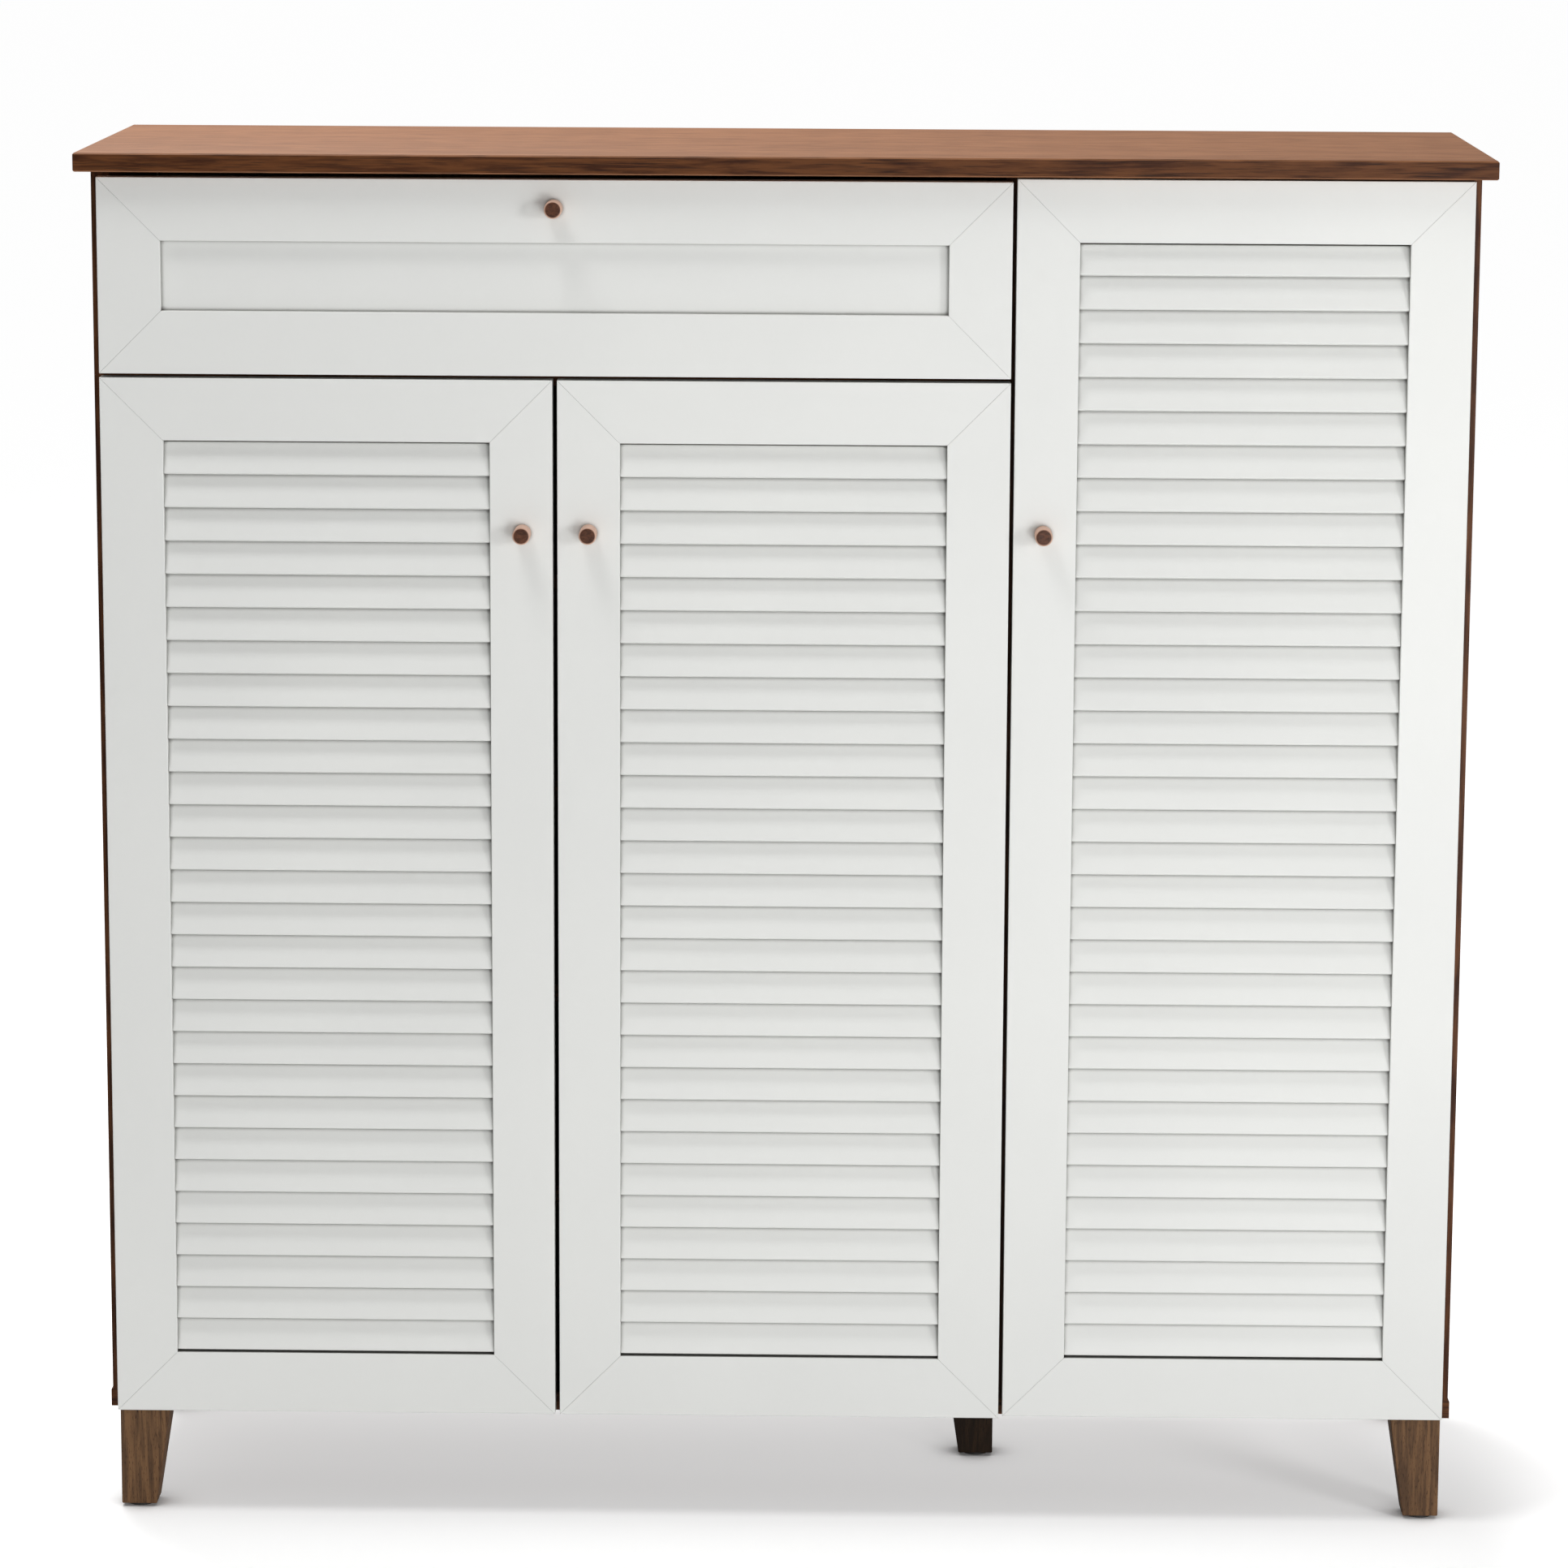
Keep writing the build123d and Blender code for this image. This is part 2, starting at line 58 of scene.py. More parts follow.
# Faces that the fixings stand on or are measured from, read from the frame.
LEFT_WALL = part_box("left_side_panel")[1].x
RIGHT_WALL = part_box("right_side_panel")[0].x
PARTITION_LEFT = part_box("centre_partition")[0].x
TOP_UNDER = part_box("top_panel")[0].z
FLOOR_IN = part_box("base_board")[1].z
DECK_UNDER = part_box("drawer_deck")[0].z
RUNNER_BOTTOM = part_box("cabinet_runners")[0].z
DOOR_THICKNESS = 18.0 * MM
DOOR_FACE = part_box("left_door_stiles")[1].y - DOOR_THICKNESS

# Hinges: the side of its door each one is on, and the heights of their middles.
HINGES = {
    "left_door": (-1, (196.0 * MM, 909.0 * MM)),
    "centre_door": (1, (196.0 * MM, 909.0 * MM)),
    "right_door": (1, (196.0 * MM, 556.0 * MM, 1090.0 * MM)),
}
ARM_SCREW_INSET = 14.0 * MM
ARM_SCREW_DEPTHS = (48.0 * MM, 68.0 * MM)
CUP_INSET = 22.0 * MM
CUP_FLANGE_DEPTH = 19.2 * MM
CUP_SCREW_RISES = (-23.0 * MM, 23.0 * MM)

# Runner screws: how far they stand off the wall, and their depths behind the door face.
RUNNER_SCREW_RISE = 13.0 * MM
CASE_RUNNER_FACE = 1.2 * MM
CASE_RUNNER_DEPTHS = (90.0 * MM, 190.0 * MM, 300.0 * MM)
DRAWER_RUNNER_FACE = 11.3 * MM
DRAWER_RUNNER_DEPTHS = (40.0 * MM, 160.0 * MM, 280.0 * MM)
DRAWER_SCREW_HEIGHT = 0.8 * MM

CAM_INSET = 24.0 * MM
CAM_DEPTHS = (52.0 * MM, 338.0 * MM)
CAM_HEIGHT = 0.5 * MM
NAIL_INSET = 6.0 * MM
NAIL_INSET_PARTITION = 4.0 * MM
NAIL_PITCH = 0.13

# Lights round the cabinet's middle: azimuth and elevation in degrees, distance and size in metres.
LAMPS = {
    "key": (47.0, 9.0, 4.2, 1.05),
    "over": (-44.0, 66.0, 3.0, 0.9),
    "back": (212.0, 60.0, 3.0, 1.6),
    "low": (20.0, -4.0, 3.1, 1.1),
}
MIDDLE = Vector((0.0, 0.0, 0.6))
CAMERA_PLACE = Vector((0.07387, -4.74619, 1.5131))
CAMERA_RIGHT = Vector((0.99985009, 0.01661795, 0.00486177))
CAMERA_UP = Vector((-0.00781991, 0.18288133, 0.98310389))
CAMERA_BACK = Vector((0.01544804, -0.98299454, 0.18298387))

BLACK = (0.0, 0.0, 0.0)
PORE_BROWN = (0.010, 0.005, 0.003)


# ---------------------------------------------------------------- shader building

class Sock:
    """An output socket that adds Math nodes when it is used in an expression."""

    def __init__(self, paint, socket):
        self.paint = paint
        self.socket = socket

    def math(self, operation, other=0.0, swap=False):
        """One Math node on this value and another."""
        pair = {0: other, 1: self} if swap else {0: self, 1: other}
        return self.paint.node("ShaderNodeMath", {"operation": operation}, pair)

    def __add__(self, other):
        return self.math("ADD", other)

    __radd__ = __add__

    def __sub__(self, other):
        return self.math("SUBTRACT", other)

    def __rsub__(self, other):
        return self.math("SUBTRACT", other, swap=True)

    def __mul__(self, other):
        return self.math("MULTIPLY", other)

    __rmul__ = __mul__


class Paint:
    """A material with a Principled shader, built node by node."""

    def __init__(self, name):
        self.material = bpy.data.materials.new(name)
        self.material.use_nodes = True
        self.tree = self.material.node_tree
        self.tree.nodes.clear()
        self.shader = self.tree.nodes.new("ShaderNodeBsdfPrincipled")
        output = self.tree.nodes.new("ShaderNodeOutputMaterial")
        self.tree.links.new(self.shader.outputs[0], output.inputs[0])

    def fill(self, socket, value):
        """Links or sets one input socket."""
        if isinstance(value, Sock):
            self.tree.links.new(value.socket, socket)
        elif hasattr(value, "__len__") and len(value) == 3 and socket.type == "RGBA":
            socket.default_value = (*value, 1.0)
        else:
            socket.default_value = value

    def node(self, kind, settings=None, sockets=None, out=0):
        """A node of any type: its settings first, then its sockets, then the output wanted."""
        made = self.tree.nodes.new(kind)
        for key, value in (settings or {}).items():
            setattr(made, key, value)
        for key, value in (sockets or {}).items():
            self.fill(made.inputs[key], value)
        return Sock(self, made.outputs[out])

    def coords(self):
        """Object coordinates."""
        return self.node("ShaderNodeTexCoord", out="Object")

    def stretched(self, scale, shift=(0.0, 0.0, 0.0)):
        """Object coordinates, scaled along each axis and moved."""
        return self.node("ShaderNodeMapping", {},
                         {"Vector": self.coords(), "Location": shift, "Scale": scale})

    def axis(self, vector, name):
        """One coordinate of a vector."""
        return self.node("ShaderNodeSeparateXYZ", {}, {"Vector": vector}, out=name)

    def noise(self, vector, scale, detail=2.0, rough=0.5, distort=0.0):
        """Noise from 0 to 1."""
        return self.node("ShaderNodeTexNoise", {},
                         {"Vector": vector, "Scale": scale, "Detail": detail, "Roughness": rough,
                          "Distortion": distort})

    def step(self, value, low, high):
        """0 below low, 1 above high and smooth between."""
        return self.node("ShaderNodeMapRange", {"interpolation_type": "SMOOTHSTEP"},
                         {"Value": value, "From Min": low, "From Max": high})

    def mix(self, factor, a, b):
        """Colour a turning into colour b."""
        return self.node("ShaderNodeMix", {"data_type": "RGBA"}, {0: factor, 6: a, 7: b}, out=2)

    def open_air(self, distance, samples):
        """1 in the open, falling to 0 where other surfaces stand within a distance."""
        return self.node("ShaderNodeAmbientOcclusion", {"samples": samples}, {"Distance": distance}, out="AO")

    def finish(self, colour, rough, bump=None, depth=0.0, strength=1.0, fixed=None):
        """Feeds the shader and returns the material."""
        self.fill(self.shader.inputs["Base Color"], colour)
        self.fill(self.shader.inputs["Roughness"], rough)
        for key, value in (fixed or {}).items():
            self.shader.inputs[key].default_value = value
        if bump is not None:
            normal = self.node("ShaderNodeBump", {},
                               {"Height": bump, "Distance": depth, "Strength": strength})
            self.fill(self.shader.inputs["Normal"], normal)
        return self.material


def walnut(name, grain, light, dark, rough, seed, edge=None, dash=26.0):
    """Straight-grained walnut: broad figure, fine streaks and short pores along one axis.

    edge is an optional (light, dark) pair for faces that don't look up or down; the faces that do look up or
    down keep the main colours, so a caller can make them paler as painted light from above.
    dash is how many pores there are to a metre along the grain.
    """
    p = Paint(name)
    shift = (seed, seed * 1.7, seed * 2.3)

    def along(across):
        """Coordinates squeezed across the grain."""
        return p.stretched(tuple(1.0 if axis == grain else across for axis in "XYZ"), shift)

    broad = p.noise(along(13.0), 2.4, 3.0, 0.55, 0.45)
    rings = (broad * 9.0).math("PINGPONG", 0.5) * 2.0
    streak = p.noise(along(15.0), 25.0, 4.0, 0.62, 0.35)
    fibre = p.noise(along(28.0), 32.0, 2.0, 0.7)
    pore = p.step(p.noise(along(1400.0 / dash), dash, 1.0, 0.4), 0.60, 0.70)
    figure = p.step(broad * 0.30 + rings * 0.16 + streak * 0.62, 0.40, 0.68)
    colour = p.mix(figure, light, dark)
    # Up and down faces keep the main colours, paler on the top as painted light from above; the rest take the
    # edge colours.
    if edge is not None:
        upward = p.axis(p.node("ShaderNodeNewGeometry", out="Normal"), "Z").math("ABSOLUTE")
        side = 1.0 - p.step(upward, 0.5, 0.9)
        colour = p.mix(side, colour, p.mix(figure, *edge))
    darker = p.mix(pore * 0.60 + (fibre - 0.5) * 0.5, colour, PORE_BROWN)
    bump = fibre * 0.4 - pore * 0.8
    return p.finish(darker, rough + (streak - 0.5) * 0.12, bump, 0.12 * MM, 0.5,
                    {"Specular IOR Level": 0.16})


def lacquer(name, colour, shade, crevice_shade, rough):
    """White satin finish with a faint orange peel, a slight drift of tone and painted shade in its crevices.
    """
    p = Paint(name)
    at = p.coords()
    drift = p.noise(at, 3.0, 2.0)
    peel = p.noise(at, 420.0, 2.0, 0.5)
    tone = p.mix(p.step(drift, 0.3, 0.7), colour, shade)
    # Painted shade: the white darkens towards the crevice colour where other surfaces stand within 4.2 mm,
    # under slat edges, in mitres and recess corners.
    tone = p.mix(p.step(p.open_air(4.2 * MM, 6), 0.30, 0.92), crevice_shade, tone)
    bump = peel + p.noise(at, 90.0, 1.0) * 0.6
    return p.finish(tone, rough + (peel - 0.5) * 0.10, bump, 0.06 * MM, 0.35)


def hardboard(name, colour, fleck):
    """Pressed fibre board with fine flecks."""
    p = Paint(name)
    at = p.coords()
    chips = p.noise(at, 260.0, 4.0, 0.7, 0.4)
    cloud = p.noise(at, 9.0, 3.0)
    tone = p.mix(p.step(chips, 0.45, 0.75) * 0.8 + cloud * 0.2, colour, fleck)
    return p.finish(tone, 0.62 + (chips - 0.5) * 0.2, chips, 0.2 * MM, 0.4)


def plated(name, colour, rough):
    """Plated steel with faint marks and dull patches."""
    p = Paint(name)
    at = p.coords()
    marks = p.noise(at, 320.0, 2.0, 0.6)
    dull = p.noise(at, 40.0, 3.0)
    tone = p.mix(p.step(dull, 0.35, 0.75) * 0.35, colour, tuple(c * 0.72 for c in colour))
    return p.finish(tone, rough + (dull - 0.5) * 0.16 + (marks - 0.5) * 0.10, marks, 0.03 * MM, 0.3,
                    {"Metallic": 1.0})


def coated(name, colour, rough, grain):
    """Moulded plastic or powder coat with a fine even texture."""
    p = Paint(name)
    at = p.coords()
    pebble = p.noise(at, grain, 2.0, 0.6)
    scuff = p.noise(at, 25.0, 4.0, 0.65)
    tone = p.mix(p.step(scuff, 0.4, 0.8) * 0.5, colour, tuple(c * 0.82 for c in colour))
    return p.finish(tone, rough + (scuff - 0.5) * 0.14, pebble, 0.05 * MM, 0.4)


def turned_wood(name, light, dark, rim):
    """End grain on the knob's face, side grain round it, and a paler eased rim that is a painted highlight.
    """
    p = Paint(name)
    fibre = p.noise(p.stretched((1.0, 0.12, 1.0)), 900.0, 3.0, 0.6)
    ring = p.noise(p.stretched((1.0, 0.1, 2.2)), 170.0, 3.0, 0.55, 0.8)
    tone = p.mix(p.step(ring * 0.6 + fibre * 0.4, 0.35, 0.65), light, dark)
    # Painted highlight: the rim attribute marks the eased rim, which is tinted pale all round.
    edge = p.node("ShaderNodeAttribute", {"attribute_name": "rim"}, out="Fac")
    return p.finish(p.mix(edge * 0.9, tone, rim), 0.42 + (fibre - 0.5) * 0.15, fibre, 0.08 * MM, 0.4,
                    {"Specular IOR Level": 0.25})


def floor_paint(near, far):
    """Pale floor whose added brightness only the camera sees: least near and under the cabinet, and faded as
    painted contact shadow where parts stand close.
    """
    p = Paint("floor_paint")
    at = p.coords()
    behind = p.step(p.axis(at, "Y"), -0.16, 0.16)
    glow = p.mix(behind, (near * 0.92, ) * 3, (near * 1.3, ) * 3)
    reach = p.step(p.node("ShaderNodeVectorMath", {"operation": "LENGTH"}, {0: at}, out="Value"), 1.6, 7.0)
    beside = p.step(p.axis(at, "X").math("ABSOLUTE"), 0.60, 0.74)
    glow = p.mix(reach.math("MAXIMUM", beside), glow, (far, ) * 3)
    # Painted contact shadow: the added brightness fades out where parts stand within 45 mm.
    glow = p.mix(p.step(p.open_air(45.0 * MM, 8), 0.25, 0.95), BLACK, glow)
    seen = p.node("ShaderNodeLightPath", out="Is Camera Ray")
    p.fill(p.shader.inputs["Emission Color"], p.mix(seen, BLACK, glow))
    return p.finish((0.93, 0.93, 0.93), 0.85, fixed={"Emission Strength": 1.0, "Specular IOR Level": 0.1})


# ---------------------------------------------------------------- settings

def colour_setting(name, description, default):
    """A colour that the user may change."""
    return bpy.props.FloatVectorProperty(name=name, description=description, default=default, size=3,
                                         min=0.0, max=1.0, subtype="COLOR")


def length_setting(name, description, default):
    """A length in metres that the user may change."""
    return bpy.props.FloatProperty(name=name, description=description, default=default, min=0.0,
                                   unit="LENGTH", precision=5)


def share_setting(name, description, default):
    """A share from 0 to 1 that the user may change."""
    return bpy.props.FloatProperty(name=name, description=description, default=default, min=0.0, max=1.0,
                                   subtype="FACTOR")


def level_setting(name, description, default, unit="NONE"):
    """A brightness, power or lens setting that the user may change."""
    return bpy.props.FloatProperty(name=name, description=description, default=default, min=0.0, unit=unit)


class WoodSettings(bpy.types.PropertyGroup):
    """Colours of the walnut boards, feet and knobs."""

    # The top's upper colours are a paler copy of the board walnut: painted light from above.
    top_painted_light_pale: colour_setting("Top light", "Pale streaks on the top's upper face", (0.390, 0.175, 0.083))
    top_painted_light_deep: colour_setting("Top dark", "Dark streaks on the top's upper face", (0.275, 0.119, 0.055))
    board_light: colour_setting("Board light", "Pale streaks on the boards", (0.120, 0.041, 0.012))
    board_dark: colour_setting("Board dark", "Dark streaks on the boards", (0.040, 0.0105, 0.0025))
    foot_light: colour_setting("Foot light", "Pale streaks on the feet", (0.190, 0.100, 0.046))
    foot_dark: colour_setting("Foot dark", "Dark streaks on the feet", (0.090, 0.048, 0.025))
    knob_light: colour_setting("Knob light", "Pale fibres of the knobs", (0.118, 0.043, 0.021))
    knob_dark: colour_setting("Knob dark", "Dark fibres of the knobs", (0.046, 0.016, 0.008))
    # Painted highlight round the knob's face, not a paler wood.
    knob_rim_highlight: colour_setting("Knob rim", "Eased rim round the knob's face", (0.680, 0.430, 0.320))
    # Painted shade: the centre foot stands in shade under the cabinet, so its walnut keeps only this share of
    # its brightness.
    centre_foot_painted_shade: share_setting("Centre painted shade", "Share of its brightness that the centre foot keeps", 0.20)
    roughness: share_setting("Roughness", "Base roughness of the boards", 0.45)


class FrontSettings(bpy.types.PropertyGroup):
    """Finish of the doors and the drawer front."""

    white: colour_setting("White", "Main colour of the fronts", (0.782, 0.788, 0.765))
    shade: colour_setting("Shade", "Slightly greyer drift in the white", (0.755, 0.761, 0.741))
    # Painted shade: the fronts' white is darkened to this where slats and corners nearly meet.
    crevice_shade: colour_setting("Crevice", "White where slats and corners nearly meet", (0.200, 0.195, 0.180))
    roughness: share_setting("Roughness", "Base roughness of the fronts", 0.40)


class HardwareSettings(bpy.types.PropertyGroup):
    """Finishes of the metal, plastic and hardboard parts, and the sizes of the fixings."""

    nickel: colour_setting("Nickel", "Hinges, cams and shelf pins", (0.62, 0.60, 0.57))
    zinc: colour_setting("Zinc", "Screws and bolts", (0.60, 0.61, 0.63))
    coat: colour_setting("Runner coat", "Powder coat on the runners", (0.74, 0.73, 0.69))
    nylon: colour_setting("Nylon", "Rollers", (0.80, 0.80, 0.76))
    glide: colour_setting("Glide", "Glides under the feet", (0.020, 0.018, 0.016))
    bumper: colour_setting("Bumper", "Soft pads behind the doors", (0.60, 0.60, 0.57))
    fibre: colour_setting("Hardboard", "Back panels and drawer bottom", (0.30, 0.185, 0.110))
    screw_radius: length_setting("Screw head", "Radius of the screw heads", 3.6 * MM)
    screw_height: length_setting("Screw height", "Height of the screw heads", 1.4 * MM)
    nail_radius: length_setting("Nail head", "Radius of the back panel nails", 2.2 * MM)
    cam_radius: length_setting("Cam face", "Radius of the cam faces", 7.4 * MM)


class KnobSettings(bpy.types.PropertyGroup):
    """Shape of the turned knobs."""

    ease: length_setting("Ease", "Width of the eased rim", 1.1 * MM)
    dish: length_setting("Dish", "How far the face is dished", 0.15 * MM)
    segments: bpy.props.IntProperty(name="Segments", description="Facets round the knob", default=64, min=12)


class StageSettings(bpy.types.PropertyGroup):
    """Floor, light and camera."""

    floor_size: length_setting("Floor", "Width of the floor", 160.0)
    floor_glow: level_setting("Floor glow", "Brightness added to the floor nearby", 0.435)
    far_glow: level_setting("Far glow", "Brightness added to the floor further out", 0.74)
    sky: level_setting("Sky", "Strength of the even light", 0.265)
    key: level_setting("Key", "Power of the key light", 43.0, "POWER")
    back: level_setting("Back", "Power of the light above and behind", 58.0, "POWER")
    low: level_setting("Low", "Power of the low front light", 27.0, "POWER")
    over: level_setting("Over", "Power of the overhead light", 28.0, "POWER")
    lens: level_setting("Lens", "Focal length in millimetres on a 36 mm sensor", 124.08)


# ---------------------------------------------------------------- mesh helpers

def dress(material, names):
    """Gives a finish to CAD nodes."""
    for name in names:
        slots = NODES[name].data.materials
        slots.clear()
        slots.append(material)


def piece_from(bm, name, material, body):
    """Turns a bmesh into a piece that rides on a body."""
    bmesh.ops.recalc_face_normals(bm, faces=bm.faces)
    mesh = bpy.data.meshes.new(name)
    bm.to_mesh(mesh)
    bm.free()
    for face in mesh.polygons:
        face.use_smooth = True
    mesh.materials.append(material)
    piece = bpy.data.objects.new(name, mesh)
    bpy.context.scene.collection.objects.link(piece)
    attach(piece, body)
    return piece


def sharp_edges(piece, angle=30.0):
    """Keeps edges steeper than an angle in degrees crisp under smooth shading."""
    bm = bmesh.new()
    bm.from_mesh(piece.data)
    for edge in bm.edges:
        edge.smooth = len(edge.link_faces) != 2 or edge.calc_face_angle(0.0) < math.radians(angle)
    bm.to_mesh(piece.data)
    bm.free()


def facing(point, direction):
    """Matrix that stands a fixing on a point, with its local Z along a direction."""
    turn = Vector((0, 0, 1)).rotation_difference(Vector(direction)).to_matrix().to_4x4()
    return Matrix.Translation(point) @ turn


def add_cross_head(bm, matrix, radius, height, arm=0.62, slot=0.13):
    """Round fixing head with a cross recess, standing on a surface.

    arm and slot are the reach and half width of the cross, as shares of the radius.
    """
    crown, crown_height, shoulder, skirt, recess = 0.86, 0.96, 0.45, 0.51, 0.7
    start = set(bm.verts)
    grid = bmesh.ops.create_grid(bm, x_segments=3, y_segments=3, size=1.0)["verts"]
    steps = (-arm * radius, -slot * radius, slot * radius, arm * radius)
    for vert in grid:
        column = round((vert.co.x + 1.0) * 1.5)
        row = round((vert.co.y + 1.0) * 1.5)
        vert.co = (steps[column], steps[row], height)
    faces = list({face for vert in grid for face in vert.link_faces})
    middles = {face: face.calc_center_median() for face in faces}
    cross = [face for face in faces if min(abs(middles[face].x), abs(middles[face].y)) < TINY]
    border = [edge for edge in {e for face in faces for e in face.edges} if len(edge.link_faces) == 1]
    ring = bmesh.ops.create_circle(bm, segments=24, radius=radius * crown)["verts"]
    bmesh.ops.translate(bm, verts=ring, vec=(0, 0, height * crown_height))
    ring_edges = list({edge for vert in ring for edge in vert.link_edges})
    bmesh.ops.bridge_loops(bm, edges=border + ring_edges)
    for scale, drop in ((1.0 / crown, -height * shoulder), (1.0, -height * skirt)):
        grown = bmesh.ops.extrude_edge_only(bm, edges=ring_edges)["geom"]
        verts = [item for item in grown if isinstance(item, bmesh.types.BMVert)]
        ring_edges = [item for item in grown if isinstance(item, bmesh.types.BMEdge)]
        bmesh.ops.scale(bm, verts=verts, vec=(scale, scale, 1.0))
        bmesh.ops.translate(bm, verts=verts, vec=(0, 0, drop))
    sunk = bmesh.ops.extrude_face_region(bm, geom=cross)["geom"]
    verts = [item for item in sunk if isinstance(item, bmesh.types.BMVert)]
    bmesh.ops.translate(bm, verts=verts, vec=(0, 0, -height * recess))
    bmesh.ops.delete(bm, geom=cross, context="FACES_ONLY")
    bmesh.ops.transform(bm, matrix=matrix, verts=[vert for vert in bm.verts if vert not in start])


def add_nail(bm, matrix, radius):
    """Flat nail head with a slightly domed face."""
    profile = [(0.0, 0.30 * MM), (radius * 0.6, 0.26 * MM), (radius, 0.08 * MM), (radius, -0.20 * MM)]
    verts = [bm.verts.new((x, 0.0, z)) for x, z in profile]
    edges = [bm.edges.new(pair) for pair in zip(verts, verts[1:])]
    bmesh.ops.spin(bm, geom=verts + edges, cent=(0, 0, 0), axis=(0, 0, 1), angle=math.tau, steps=10,
                   use_merge=True)
    bmesh.ops.remove_doubles(bm, verts=[vert for vert in bm.verts if not vert.tag], dist=TINY)
    bmesh.ops.transform(bm, matrix=matrix, verts=[vert for vert in bm.verts if not vert.tag])
    for vert in bm.verts:
        vert.tag = True


# ---------------------------------------------------------------- operators

class CABINET_OT_walnut(bpy.types.Operator):
    """Veneer the boards and stain the feet"""

    bl_idname = "cabinet.walnut"
    bl_label = "Walnut boards and feet"

    def execute(self, context):
        s = context.scene.cabinet_wood
        board = (tuple(s.board_light), tuple(s.board_dark))
        # Painted light: the top's upper face takes the paler top colours, its edges the board colours.
        top = (tuple(s.top_painted_light_pale), tuple(s.top_painted_light_deep))
        dress(walnut("walnut_top", "X", *top, s.roughness, 0.3, edge=board), ["top_panel"])
        dress(walnut("walnut_upright", "Z", *board, s.roughness, 1.1),
              ["left_side_panel", "right_side_panel", "centre_partition"])
        shelves = [f"left_shelf_{k}" for k in range(1, 5)] + [f"right_shelf_{k}" for k in range(1, 6)]
        dress(walnut("walnut_shelf", "X", *board, s.roughness, 2.6), shelves + ["drawer_deck", "base_board"])
        dress(walnut("walnut_drawer_back", "X", *board, s.roughness, 4.2), ["drawer_back"])
        dress(walnut("walnut_drawer_side", "Y", *board, s.roughness, 5.7),
              ["drawer_side_left", "drawer_side_right"])
        foot = (tuple(s.foot_light), tuple(s.foot_dark))
        # Painted shade: the centre foot gets a darkened copy of the foot walnut.
        shaded_foot_tones = [tuple(c * s.centre_foot_painted_shade for c in tone) for tone in foot]
        foot_rough, pores = s.roughness + 0.05, 190.0
        dress(walnut("walnut_foot", "Z", *foot, foot_rough, 3.4, dash=pores),
              ["foot_front_left", "foot_front_right", "foot_rear_left", "foot_rear_right"])
        dress(walnut("walnut_centre_foot", "Z", *shaded_foot_tones, foot_rough, 6.1, dash=pores), ["foot_centre"])
        return {"FINISHED"}


class CABINET_OT_fronts(bpy.types.Operator):
    """Lacquer the doors and the drawer front"""

    bl_idname = "cabinet.fronts"
    bl_label = "White fronts"

    def execute(self, context):
        s = context.scene.cabinet_fronts
        white = lacquer("white_satin", tuple(s.white), tuple(s.shade), tuple(s.crevice_shade), s.roughness)
        names = [n for n in NODES if n.split("_")[-1] in ("stiles", "rails", "slats")]
        dress(white, names + ["drawer_front_panel"])
        return {"FINISHED"}


class CABINET_OT_hardware(bpy.types.Operator):
    """Finish the hinges, runners, rollers, pins, pads and back panels"""

    bl_idname = "cabinet.hardware"
    bl_label = "Hardware finishes"

    def execute(self, context):
        s = context.scene.cabinet_hardware
        cups = [n for n in NODES if n.endswith("hinge_cups")]
        bolts = [n for n in NODES if n.endswith("knob_screw")]
        dress(plated("nickel_plate", tuple(s.nickel), 0.30),
              ["hinge_arms", "cam_fittings", "shelf_pins"] + cups)
        dress(plated("zinc_plate", tuple(s.zinc), 0.36), ["foot_bolts"] + bolts)
        dress(coated("runner_coat", tuple(s.coat), 0.45, 700.0), ["cabinet_runners", "drawer_runners"])
        dress(coated("roller_nylon", tuple(s.nylon), 0.50, 300.0), ["rail_rollers", "drawer_rollers"])
        dress(coated("glide_plastic", tuple(s.glide), 0.55, 500.0), ["foot_glides"])
        dress(coated("bumper_pad", tuple(s.bumper), 0.60, 500.0), ["door_bumpers"])
        fibre = tuple(s.fibre)
        dress(hardboard("hardboard", fibre, tuple(c * 0.55 for c in fibre)),
              ["back_panel_left", "back_panel_right", "drawer_bottom"])
        return {"FINISHED"}


class CABINET_OT_knobs(bpy.types.Operator):
    """Turn the four knobs on a lathe profile"""

    bl_idname = "cabinet.knobs"
    bl_label = "Turned knobs"

    def execute(self, context):
        s = context.scene.cabinet_knobs
        w = context.scene.cabinet_wood
        wood = turned_wood("turned_walnut", tuple(w.knob_light), tuple(w.knob_dark), tuple(w.knob_rim_highlight))
        for owner in ("left_door", "centre_door", "right_door", "drawer"):
            low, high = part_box(f"{owner}_knob")
            radius = (high.x - low.x) / 2
            x, z = (low.x + high.x) / 2, (low.z + high.z) / 2
            ease = s.ease
            profile = [
                (0.0, low.y + s.dish), (radius * 0.5, low.y + s.dish * 0.7), (radius - ease * 1.3, low.y),
                (radius - ease * 0.45, low.y + ease * 0.2), (radius, low.y + ease),
                (radius, low.y + ease * 1.6), (radius, (low.y + high.y) / 2), (radius, high.y), (0.0, high.y),
            ]
            bm = bmesh.new()
            verts = [bm.verts.new((r, y, 0.0)) for r, y in profile]
            edges = [bm.edges.new(pair) for pair in zip(verts, verts[1:])]
            bmesh.ops.spin(bm, geom=verts + edges, cent=(0, 0, 0), axis=(0, 1, 0), angle=math.tau,
                           steps=s.segments, use_merge=True)
            bmesh.ops.remove_doubles(bm, verts=bm.verts, dist=TINY)
            bmesh.ops.translate(bm, verts=bm.verts, vec=(x, 0.0, z))
            knob = piece_from(bm, f"{owner}_turned_knob", wood, owner)
            sharp_edges(knob, 50.0)
            # Marks the eased rim for the painted highlight.
            rim = knob.data.attributes.new("rim", "FLOAT", "POINT")
            for vert, item in zip(knob.data.vertices, rim.data):
                reach = math.hypot(vert.co.x - x, vert.co.z - z)
                item.value = 1.0 if reach > radius - ease * 0.9 else 0.0
            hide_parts(f"{owner}_knob")
        return {"FINISHED"}


